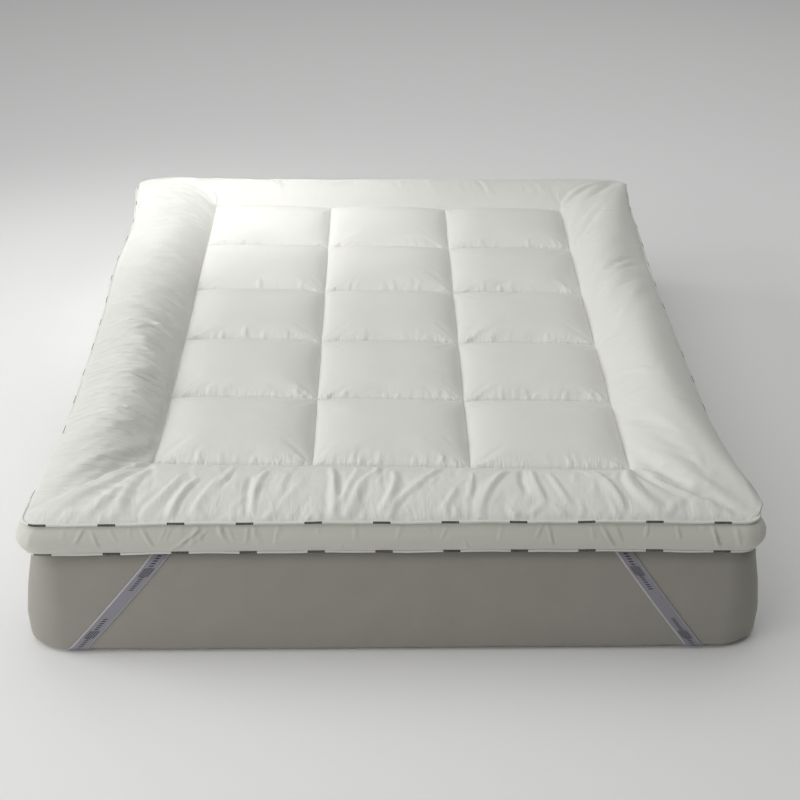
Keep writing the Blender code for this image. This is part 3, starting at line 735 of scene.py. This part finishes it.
def panel_form(s, t, sizes):
    """Heights above the seams of the top panel as it is laid out, and which points are sewn down."""
    inside = (abs(s) < INNER_HALF_WIDTH + 1e-5) & (abs(t) < INNER_HALF_LENGTH + 1e-5)
    from_side, from_end = margins(s, t)
    from_edge = np.minimum(from_side, from_end)
    past = np.hypot(np.maximum(abs(s) - INNER_HALF_WIDTH, 0), np.maximum(abs(t) - INNER_HALF_LENGTH, 0))
    at_side = clipped((abs(s) - INNER_HALF_WIDTH) / SIDE_BLEND)
    inner = BORDER_FULLNESS + at_side * np.where(s < 0, LEFT_INNER, 0.0)
    outer = BORDER_FULLNESS + np.where(s < 0, 0.0, RIGHT_OUTER)
    border = rise(from_side, OUTER_REACH, outer) * rise(past, INNER_REACH, inner)
    border *= rise(from_end, OUTER_REACH, BORDER_FULLNESS) * sizes.border_crown
    across = from_seam(s, INNER_HALF_WIDTH, BOX_WIDTH)
    along = from_seam(t, INNER_HALF_LENGTH, BOX_LENGTH)
    box = sizes.box_crown * rise(across, BOX_REACH) * rise(along, BOX_REACH)
    sewn = (from_edge < 1e-5) | (inside & ((across < 1e-5) | (along < 1e-5)))
    rng = np.random.default_rng(sizes.seed)
    folds = MOST_FOLD * np.tanh(folded(s, t, CREASES + random_creases(rng)) / MOST_FOLD)
    folds *= clipped(past / 0.015) * clipped(from_end / 0.005) * clipped(from_side / FLANK)
    puckers = folded(s, t, random_puckers(rng))
    puckers *= clipped(across / 0.006) * clipped(along / 0.003)
    box *= 1 + FILLING_WAVES * unevenness(s, t, rng)
    heights = np.where(inside, box + puckers, border + folds)
    heights[sewn] = 0.0
    heights += SEAM_DEPTH * (1 - clipped(from_edge / BORDER_WIDTH))
    return heights, sewn


def overhang(s, t):
    """How far the border's flank is pushed out over the piping, across and along the panel."""
    from_side, from_end = margins(s, t)
    upright = np.where(s < 0, 2 * OVERHANG_END, OVERHANG_END / 2)
    footward = 1 + FOOTWARD_OVERHANG * clipped((FOOTWARD_START - t) / FOOTWARD_REACH)
    sideways = SIDE_OVERHANG * footward * clipped(from_end / upright)
    sideways *= bell(from_side - FLANK, FLANK) * clipped(from_side / FLANK)
    endways = END_OVERHANG * clipped(from_side / upright)
    endways *= bell(from_end - FLANK, FLANK) * clipped(from_end / FLANK)
    return np.copysign(sideways, s), np.copysign(endways, t)


def filled(bm, places, sewn, sizes, frames):
    """The places of a piece of cloth's points after a short simulation of its filling, sewn points held."""
    data = bpy.data.meshes.new("cloth being filled")
    bm.to_mesh(data)
    data.vertices.foreach_set("co", places.ravel())
    cloth = bpy.data.objects.new("cloth being filled", data)
    scene = bpy.context.scene
    scene.collection.objects.link(cloth)
    held = cloth.vertex_groups.new(name="sewn")
    held.add([int(index) for index in np.nonzero(sewn)[0]], 1.0, "ADD")
    cloth.shape_key_add(name="as laid out")
    cut = cloth.shape_key_add(name="as cut")
    cut.data.foreach_set("co", (places * (1 + sizes.slack)).ravel())
    modifier = cloth.modifiers.new("filling", "CLOTH")
    settings = modifier.settings
    settings.quality = 5
    settings.mass = 0.002
    settings.tension_stiffness = settings.compression_stiffness = 15
    settings.shear_stiffness = 5
    settings.bending_stiffness = 1
    settings.use_pressure = True
    settings.uniform_pressure_force = sizes.pressure
    settings.vertex_group_mass = "sewn"
    settings.rest_shape_key = cut
    settings.effector_weights.gravity = 0
    modifier.collision_settings.use_collision = False
    modifier.collision_settings.use_self_collision = False
    for step in range(1, frames + 1):
        scene.frame_set(step)
    result = np.empty_like(places).ravel()
    cloth.evaluated_get(bpy.context.evaluated_depsgraph_get()).data.vertices.foreach_get("co", result)
    bpy.data.objects.remove(cloth)
    bpy.data.meshes.remove(data)
    scene.frame_set(1)
    result = result.reshape(-1, 3)
    if not np.isfinite(result).all():
        raise RuntimeError("the cloth simulation didn't settle")
    return result


# ---- mesh helpers ----
def grid_lines(half, seams, cell, border_cell):
    """Grid lines across the panel: even between seams, wider in the border, a close pair beside each seam."""
    marks = sorted([-half, half, *seams])
    found = []
    for low, high in zip(marks, marks[1:]):
        in_border = low == -half or high == half
        count = max(2, round((high - low) / (border_cell if in_border else cell)))
        found += list(np.linspace(low, high, count + 1)[:-1])
        found += [low + 0.0025, high - 0.0025]
    return sorted({round(float(line), 6) for line in found} | {half})


def new_grid(columns, rows):
    """A bmesh grid of so many cells, with its UV map, and each vertex's column and row in it."""
    bm = bmesh.new()
    bm.loops.layers.uv.new("UVMap")
    turned = Matrix.Translation((0.5, 0.5, 0.0)) @ Matrix.Scale(0.5, 4)
    bmesh.ops.create_grid(bm, x_segments=columns, y_segments=rows, size=1.0, matrix=turned, calc_uvs=True)
    places = np.array([vert.co for vert in bm.verts])
    return bm, np.rint(places[:, 0] * columns).astype(int), np.rint(places[:, 1] * rows).astype(int)


def move_to(bm, places):
    for vert, place in zip(bm.verts, places):
        vert.co = place


def close_ring(bm, places):
    """Moves a grid's points to places that lead all the way round, and joins its two ends."""
    move_to(bm, places)
    bmesh.ops.remove_doubles(bm, verts=bm.verts, dist=1e-5)
    bmesh.ops.recalc_face_normals(bm, faces=bm.faces)


def finish_piece(name, bm, cloth, slot, *nodes):
    """Makes the piece's object, which rides on the model's one body and stands for its CAD nodes."""
    data = bpy.data.meshes.new(name)
    bm.to_mesh(data)
    bm.free()
    data.shade_smooth()
    data.materials.append(cloth)
    piece = bpy.data.objects.new(name, data)
    bpy.context.scene.collection.objects.link(piece)
    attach(piece, "root")
    if nodes:
        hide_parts(*nodes)
    return piece


# ---- pieces ----
class TOPPER_OT_panel(bpy.types.Operator):
    """Sew, fill and close the topper's quilted top panel"""

    bl_idname = "topper.panel"
    bl_label = "Quilted Panel"

    def execute(self, context):
        sizes, colours = context.scene.topper_sizes, context.scene.topper_colours
        lines_s = np.array(grid_lines(HALF_WIDTH, SEAMS_S, sizes.cell, sizes.border_cell))
        lines_t = np.array(grid_lines(HALF_LENGTH, SEAMS_T, sizes.cell, sizes.border_cell))
        bm, column, row = new_grid(len(lines_s) - 1, len(lines_t) - 1)
        s, t = lines_s[column], lines_t[row]
        heights, sewn = panel_form(s, t, sizes)
        out_s, out_t = overhang(s, t)
        laid = np.stack([s + out_s, t + out_t, heights], axis=1)
        after = filled(bm, laid, sewn, sizes, sizes.frames)
        x, y = plan(s, t)
        move_to(bm, np.stack([x + after[:, 0] - s, y + after[:, 1] - t, SEAM_Z + after[:, 2]], axis=1))
        self.note_cut(bm, s, t)
        for edge in bm.edges:
            a, b = (vert.index for vert in edge.verts)
            edge.smooth = not (sewn[a] and sewn[b])
        self.close(bm)
        piece = finish_piece("topper_panel", bm, panel_material(colours), "topper_cloth", "topper")
        return {"FINISHED"}

    def note_cut(self, bm, s, t):
        """Stores each point's place on the plain rectangle, and how gathered the cloth is there."""
        cut = bm.verts.layers.float_vector.new("cut")
        gathered = bm.verts.layers.float_vector.new("gathered")
        past_side = abs(s) - INNER_HALF_WIDTH
        past_end = abs(t) - INNER_HALF_LENGTH
        sideways = clipped(0.5 + (past_side - past_end) / MITRE)
        outside = clipped(np.maximum(past_side, past_end) / GATHERS_START)
        from_foot = (t + INNER_HALF_LENGTH) % BOX_LENGTH
        across = from_seam(s, INNER_HALF_WIDTH, BOX_WIDTH)
        over_seam = 1.5 * np.exp(-from_foot / 0.016) + 0.25 * np.exp(-(BOX_LENGTH - from_foot) / 0.012)
        over_seam *= 0.35 + 0.65 * bell(across, 0.09) + 0.2 * np.sin(37 * s + 11 * t)
        endways = (1 - sideways) * (0.2 + 0.5 * bell(np.minimum(*margins(s, t)), 0.05))
        sideways *= np.where(s < 0, 1.3 + 0.9 * bell(t + 0.5, 0.4), 0.45)
        places = np.column_stack([s, t, np.zeros_like(s)])
        amounts = np.column_stack([outside * sideways, outside * endways, (1 - outside) * over_seam])
        for vert, place, amount in zip(bm.verts, places, amounts):
            vert[cut] = place
            vert[gathered] = amount

    def close(self, bm):
        """Carries the panel's edge down inside the gusset and closes it with the flat back panel."""
        rim = [edge for edge in bm.edges if edge.is_boundary]
        for drop, inset in ((RIM_DROP, RIM_INSET), (PIPING_TOP_Z - TOPPER_BOTTOM - RIM_DROP, 0.0)):
            made = bmesh.ops.extrude_edge_only(bm, edges=rim)["geom"]
            verts = [thing for thing in made if isinstance(thing, bmesh.types.BMVert)]
            rim = [thing for thing in made if isinstance(thing, bmesh.types.BMEdge) and thing.is_boundary]
            for vert in verts:
                vert.co.x -= inset * round((vert.co.x - TOPPER_SHIFT) / HALF_WIDTH)
                vert.co.y -= inset * round(vert.co.y / HALF_LENGTH)
                vert.co.z -= drop
        bmesh.ops.contextual_create(bm, geom=rim)
        bmesh.ops.recalc_face_normals(bm, faces=bm.faces)


class TOPPER_OT_gusset(bpy.types.Operator):
    """Sew the band of cloth round the topper's side"""

    bl_idname = "topper.gusset"
    bl_label = "Gusset"

    def execute(self, context):
        sizes, colours = context.scene.topper_sizes, context.scene.topper_colours
        round_count = round(ABOUT_ROUND / sizes.gusset_cell)
        rows = round(GUSSET_HEIGHT / sizes.gusset_cell)
        places, normals, walked, perimeter = outline(round_count)
        bm, column, row = new_grid(round_count, rows)
        share = row / rows
        from_cord = np.minimum(share, 1 - share) * GUSSET_HEIGHT
        out = GUSSET_BULGE * np.sin(math.pi * share**0.76) ** 0.9 - GUSSET_SINK
        out -= np.where(share > 0.5, GUSSET_TUCK, 0.0) * bell(from_cord, TUCK_REACH)
        from_side, from_end = margins(*places[column].T)
        corner = bell(from_side + EAR_X, CORNER_REACH) * bell(from_end + EAR_Y, CORNER_REACH)
        out += CORNER_BULGE * corner * np.sin(math.pi * share)
        out += self.pleats(walked[column], share, perimeter, sizes.seed)
        z = PIPING_BOTTOM_Z + share * GUSSET_HEIGHT
        around = places[column] + out[:, None] * normals[column]
        close_ring(bm, np.column_stack([around, z]))
        laid = np.array([vert.co for vert in bm.verts])
        sewn = (laid[:, 2] < PIPING_BOTTOM_Z + 1e-4) | (laid[:, 2] > PIPING_TOP_Z - 1e-4)
        move_to(bm, filled(bm, laid, sewn, sizes, sizes.gusset_frames))
        # the side band's cotton, with its painted shade and warm bounced light
        shades = (colours.gusset, colours.gusset_shade)
        cotton = cotton_material("gusset_cotton", *shades, "UV", (perimeter, GUSSET_HEIGHT))
        piece = finish_piece("gusset_band", bm, cotton, "topper_cloth", "gusset")
        thicken = piece.modifiers.new("cloth thickness", "SOLIDIFY")
        thicken.thickness = GUSSET_THICKNESS
        thicken.offset = -1.0
        return {"FINISHED"}

    def pleats(self, walked, share, perimeter, seed):
        """How far the gusset's creases stand out of it."""
        rng = np.random.default_rng(seed + 1)
        found = list(PLEATS)
        for place in rng.uniform(0.0, perimeter, LOOSE_PLEATS):
            low, run = rng.uniform(0.3, 0.8), rng.normal(0.0, 0.012)
            width, height = rng.uniform(*LOOSE_WIDTHS), rng.uniform(*LOOSE_HEIGHTS)
            found.append(Pleat(place - perimeter / 2, low, 1.0, run, width, height))
        total = np.zeros_like(share)
        for one in found:
            level = clipped((share - one.low) / (one.high - one.low))
            off = abs(walked - perimeter / 2 - one.at - one.run * (level - 0.5)) / one.width
            total += one.height * np.sin(math.pi * level) ** 0.6 * ridge(off)
        return total * np.sin(math.pi * share) ** 0.3


class TOPPER_OT_pipings(bpy.types.Operator):
    """Make the two cords in the gusset's seams"""

    bl_idname = "topper.pipings"
    bl_label = "Pipings"

    def execute(self, context):
        colours = context.scene.topper_colours
        self.make("piping_top", PIPING_TOP_Z, TOP_MARK, colours)
        self.make("piping_bottom", PIPING_BOTTOM_Z, BOTTOM_MARK, colours)
        return {"FINISHED"}

    def make(self, name, z, first, colours):
        places, normals, walked, perimeter = outline(PIPING_POINTS)
        bm, column, row = new_grid(PIPING_POINTS, PIPING_SIDES)
        turn = 2 * math.pi * row / PIPING_SIDES
        out = PIPING_RADIUS * np.cos(turn)
        round_share = 2 * math.pi * walked[column] / perimeter
        wave = sum(height * np.sin(count * round_share + start) for height, count, start in PIPING_WAVES)
        around = places[column] + out[:, None] * normals[column]
        close_ring(bm, np.column_stack([around, z + wave + PIPING_RADIUS * np.sin(turn)]))
        cover = piping_material(f"{name}_cover", colours, perimeter, perimeter / 2 + first)
        finish_piece(f"{name}_cord", bm, cover, "piping_cloth", name)


class TOPPER_OT_stitches(bpy.types.Operator):
    """Sew the stitches along the quilting's seams"""

    bl_idname = "topper.stitches"
    bl_label = "Quilting Stitches"

    def execute(self, context):
        bm = bmesh.new()
        for s in SEAMS_S:
            self.line(bm, (s, -INNER_HALF_LENGTH), (s, INNER_HALF_LENGTH))
        for t in SEAMS_T:
            self.line(bm, (-INNER_HALF_WIDTH, t), (INNER_HALF_WIDTH, t))
        thread = thread_material(context.scene.topper_colours)
        finish_piece("quilting_stitches", bm, thread, "topper_cloth")
        return {"FINISHED"}

    def line(self, bm, start, end):
        count = round(math.dist(start, end) / STITCH_PITCH)
        share = (np.arange(count) + 0.5) / count
        x, y = plan(*(low + share * (high - low) for low, high in zip(start, end)))
        heading = math.atan2(y[-1] - y[0], x[-1] - x[0])
        lie = Matrix.Rotation(heading, 4, "Z") @ Matrix.Rotation(math.pi / 2, 4, "Y")
        size = dict(segments=6, radius1=STITCH_RADIUS, radius2=STITCH_RADIUS, depth=STITCH_LENGTH)
        for place in zip(x, y):
            matrix = Matrix.Translation((*place, SEAM_Z + STITCH_RADIUS)) @ lie
            bmesh.ops.create_cone(bm, cap_ends=True, matrix=matrix, **size)


# ---- mattress and straps ----
Level = namedtuple("Level", "outset swell z facing")


def rounding(radius, middle, swell, first, last, steps):
    """Levels round a quarter circle, between two facings."""
    levels = []
    for facing in np.linspace(first, last, steps + 1):
        turn = math.radians(facing)
        levels.append(Level(radius * (math.cos(turn) - 1), swell, middle + radius * math.sin(turn), facing))
    return levels


def mattress_levels():
    """The mattress's side from the underside up to the top: outset, belly, height, and facing in degrees."""
    shoulder = MATTRESS_HEIGHT - SHOULDER_RADIUS
    known_z = (FOOT_RADIUS, 0.07, 0.14, shoulder)
    wall = []
    for z in np.linspace(FOOT_RADIUS, shoulder, 14)[1:-1]:
        outset = np.interp(z, known_z, (0.0, 0.003, 0.004, 0.0))
        swell = np.interp(z, known_z, (BELLY, BELLY, 0.5 * BELLY, 0.0))
        wall.append(Level(outset, swell, z, np.interp(z, known_z, (0, 2, 5, 0))))
    foot = rounding(FOOT_RADIUS, FOOT_RADIUS, BELLY, -90, 0, 6)
    return foot + wall + rounding(SHOULDER_RADIUS, shoulder, 0.0, 0, 90, 10)


def lifted(z, lift):
    """The height of a point of the round foot where the mattress's corner is lifted off the floor."""
    return z if z >= FOOT_RADIUS else lift + z * (FOOT_RADIUS - lift) / FOOT_RADIUS


Post = namedtuple("Post", "x y nx ny lift")


def mattress_posts():
    """Places round the mattress's outline, with their normals and how far the foot is lifted there."""
    posts = []
    for sign_x, sign_y, first_turn in ((1, -1, -90), (1, 1, 0), (-1, 1, 90), (-1, -1, 180)):
        start = math.radians(first_turn)
        corner_x, corner_y = sign_x * MATTRESS_HALF_WIDTH, sign_y * MATTRESS_HALF_LENGTH
        nx, ny = math.cos(start), math.sin(start)
        for distance, lift in LIFTS:
            posts.append(Post(corner_x + ny * distance, corner_y - nx * distance, nx, ny, lift))
        centre_x = corner_x - sign_x * MATTRESS_CORNER
        centre_y = corner_y - sign_y * MATTRESS_CORNER
        for turn in np.linspace(start, start + math.pi / 2, 13):
            nx, ny = math.cos(turn), math.sin(turn)
            x, y = centre_x + MATTRESS_CORNER * nx, centre_y + MATTRESS_CORNER * ny
            posts.append(Post(x, y, nx, ny, CORNER_LIFT))
        for distance, lift in LIFTS[::-1]:
            posts.append(Post(corner_x - ny * distance, corner_y + nx * distance, nx, ny, lift))
    return posts


class TOPPER_OT_mattress(bpy.types.Operator):
    """Make the plain mattress that the topper fits"""

    bl_idname = "topper.mattress"
    bl_label = "Mattress"

    def execute(self, context):
        posts, levels = mattress_posts(), mattress_levels()
        posts = posts + posts[:1]
        bm, column, row = new_grid(len(posts) - 1, len(levels) - 1)
        places = []
        for post_index, level_index in zip(column, row):
            post, level = posts[post_index], levels[level_index]
            outset = level.outset + level.swell * post.nx**4
            places.append((post.x + outset * post.nx, post.y + outset * post.ny, lifted(level.z, post.lift)))
        move_to(bm, places)
        bmesh.ops.remove_doubles(bm, verts=bm.verts, dist=1e-5)
        ends = [edge for edge in bm.edges if edge.is_boundary]
        for upper in (False, True):
            rim = [edge for edge in ends if (edge.verts[0].co.z > MATTRESS_HEIGHT / 2) == upper]
            bmesh.ops.contextual_create(bm, geom=rim)
        bmesh.ops.recalc_face_normals(bm, faces=bm.faces)
        knit = mattress_material(context.scene.topper_colours)
        piece = finish_piece("plain_mattress", bm, knit, "mattress_cloth", "mattress")
        return {"FINISHED"}


class TOPPER_OT_straps(bpy.types.Operator):
    """Pull the four elastic straps under the mattress's corners"""

    bl_idname = "topper.straps"
    bl_label = "Elastic Straps"

    def execute(self, context):
        for strap in STRAPS:
            self.make(strap, context.scene.topper_colours)
        return {"FINISHED"}

    def stations(self, strap, swelling):
        """The strap's edges from the shoulder down to the underside, as distances from the corner."""
        half_slanted = STRAP_WIDTH / 2 * math.hypot(1.0, strap.slant)
        half_under = STRAP_WIDTH / 2 * math.sqrt(2)
        middle, before, found = strap.foot, None, []
        for level in mattress_levels():
            if level.facing > 90 - STRAP_TOP_ANGLE:
                break
            outset = level.outset + level.swell * swelling
            if before:
                middle += strap.slant * math.hypot(outset - before[0], level.z - before[1])
            half = half_under + (half_slanted - half_under) * min(1.0, level.z / FOOT_RADIUS)
            found.append((middle - half, middle + half, outset, level))
            before = (outset, level.z)
        return found[::-1]

    def face(self, strap, along_end):
        """The strap's edge points down the end or the side of the mattress."""
        found = []
        for near, far, outset, level in self.stations(strap, 0.0 if along_end else 1.0):
            turn = math.radians(level.facing)
            out = outset + STRAP_CLEARANCE * math.cos(turn)
            z = lifted(level.z, CORNER_LIFT) + STRAP_CLEARANCE * math.sin(turn)
            pair = []
            for distance in (near, far):
                if along_end:
                    x, y = MATTRESS_HALF_WIDTH - distance, MATTRESS_HALF_LENGTH + out
                else:
                    x, y = MATTRESS_HALF_WIDTH + out, MATTRESS_HALF_LENGTH - distance
                pair.append((strap.side * x, strap.end * y, z))
            found.append(pair)
        return found

    def make(self, strap, colours):
        pairs = np.array(self.face(strap, True) + self.face(strap, False)[::-1])
        middle = pairs.mean(axis=1)
        walked = np.concatenate([[0.0], np.cumsum(np.linalg.norm(np.diff(middle, axis=0), axis=1))])
        columns = len(pairs) - 1
        bm, column, row = new_grid(columns, STRAP_ROWS)
        share = (row / STRAP_ROWS)[:, None]
        move_to(bm, pairs[column, 0] * (1 - share) + pairs[column, 1] * share)
        uv = bm.loops.layers.uv.active
        for face in bm.faces:
            for loop in face.loops:
                number = round(loop[uv].uv.x * columns)
                loop[uv].uv.x = walked[number] / walked[-1]
        bmesh.ops.recalc_face_normals(bm, faces=bm.faces)
        if sum(face.normal.x * face.calc_center_median().x for face in bm.faces) < 0:
            bmesh.ops.reverse_faces(bm, faces=bm.faces)
        cloth = elastic_material(f"{strap.name}_elastic", colours, walked[-1])
        piece = finish_piece(f"{strap.name}_band", bm, cloth, "strap_elastic", strap.name)
        thicken = piece.modifiers.new("elastic thickness", "SOLIDIFY")
        thicken.thickness = STRAP_THICKNESS
        thicken.offset = 1.0


# ---- stage ----
class TOPPER_OT_stage(bpy.types.Operator):
    """Set up the floor, the lights and the camera"""

    bl_idname = "topper.stage"
    bl_label = "Floor, Lights and Camera"

    def execute(self, context):
        scene, settings = context.scene, context.scene.topper_stage
        bm = bmesh.new()
        bmesh.ops.create_grid(bm, x_segments=1, y_segments=1, size=FLOOR_HALF)
        floor = bpy.data.meshes.new("floor")
        bm.to_mesh(floor)
        bm.free()
        paint, _, shader = new_material("floor_paint")
        feed(shader, {"Base Color": (*scene.topper_colours.floor, 1.0), "Roughness": 0.9})
        floor.materials.append(paint)
        ground = bpy.data.objects.new("floor", floor)
        scene.collection.objects.link(ground)
        world = bpy.data.worlds.new("room")
        scene.world = world
        scene.view_settings.view_transform = "Standard"
        world.use_nodes = True
        background = world.node_tree.nodes["Background"]
        feed(background, {"Color": (1.0, 1.0, 0.99, 1.0), "Strength": settings.room})
        lamps = (  # place, target, size, spread in degrees and power
            ("head light", (-2.1, 1.7, 1.5), (-0.2, 0.75, 0.3), 0.9, 80, settings.head),
            ("left light", (-3.4, -0.3, 2.0), (0.0, -0.2, 0.3), 1.6, 110, settings.left),
            ("foot light", (-3.2, -2.6, 1.8), (0.0, -0.5, 0.3), 1.8, 110, settings.foot),
            ("front light", (-2.6, -4.3, 2.3), (0.0, -0.9, 0.25), 2.0, 120, settings.front),
            ("patch light", (-1.2, 1.6, 3.0), (-0.42, 0.72, 0.3), 0.6, 22, settings.patch),
            ("ceiling", (0.0, 1.4, 5.0), (0.0, 1.4, 0.0), 9.0, 180, settings.ceiling),
        )
        for lamp in lamps:
            self.light(scene, *lamp)
        self.camera(scene)
        return {"FINISHED"}

    def light(self, scene, name, place, target, size, spread, power):
        lamp = bpy.data.lights.new(name, "AREA")
        lamp.size = size
        lamp.spread = math.radians(spread)
        lamp.energy = power
        thing = bpy.data.objects.new(name, lamp)
        thing.location = place
        thing.rotation_euler = (Vector(target) - Vector(place)).to_track_quat("-Z", "Y").to_euler()
        scene.collection.objects.link(thing)

    def camera(self, scene):
        lens = bpy.data.cameras.new("camera")
        lens.sensor_width = SENSOR_WIDTH
        lens.lens = FOCAL_LENGTH
        camera = bpy.data.objects.new("camera", lens)
        turn = (
            Matrix.Rotation(-CAMERA_YAW, 4, "Z")
            @ Matrix.Rotation(math.pi / 2 - CAMERA_PITCH, 4, "X")
            @ Matrix.Rotation(-CAMERA_ROLL, 4, "Z")
        )
        camera.matrix_world = Matrix.Translation(CAMERA_PLACE) @ turn
        scene.collection.objects.link(camera)
        scene.camera = camera


# ---- add-on ----
OPERATORS = (
    TOPPER_OT_stage,
    TOPPER_OT_mattress,
    TOPPER_OT_panel,
    TOPPER_OT_gusset,
    TOPPER_OT_pipings,
    TOPPER_OT_stitches,
    TOPPER_OT_straps,
)


class TOPPER_PT_pieces(bpy.types.Panel):
    """The topper's pieces, their sizes and their colours"""

    bl_label = "Mattress Topper"
    bl_space_type = "VIEW_3D"
    bl_region_type = "UI"
    bl_category = "Topper"

    def draw(self, context):
        for operator in OPERATORS:
            self.layout.operator(operator.bl_idname)
        for group in (context.scene.topper_sizes, context.scene.topper_colours, context.scene.topper_stage):
            for name in group.bl_rna.properties.keys():
                if name not in ("rna_type", "name"):
                    self.layout.prop(group, name)


CLASSES = (TopperSizes, TopperColours, StageSettings, *OPERATORS, TOPPER_PT_pieces)


def register():
    for one in CLASSES:
        bpy.utils.register_class(one)
    bpy.types.Scene.topper_sizes = PointerProperty(type=TopperSizes)
    bpy.types.Scene.topper_colours = PointerProperty(type=TopperColours)
    bpy.types.Scene.topper_stage = PointerProperty(type=StageSettings)


def unregister():
    del bpy.types.Scene.topper_stage
    del bpy.types.Scene.topper_colours
    del bpy.types.Scene.topper_sizes
    for one in reversed(CLASSES):
        bpy.utils.unregister_class(one)


def main():
    register()
    for operator in OPERATORS:
        group, name = operator.bl_idname.split(".")
        getattr(getattr(bpy.ops, group), name)()


if __name__ == "__main__":
    main()
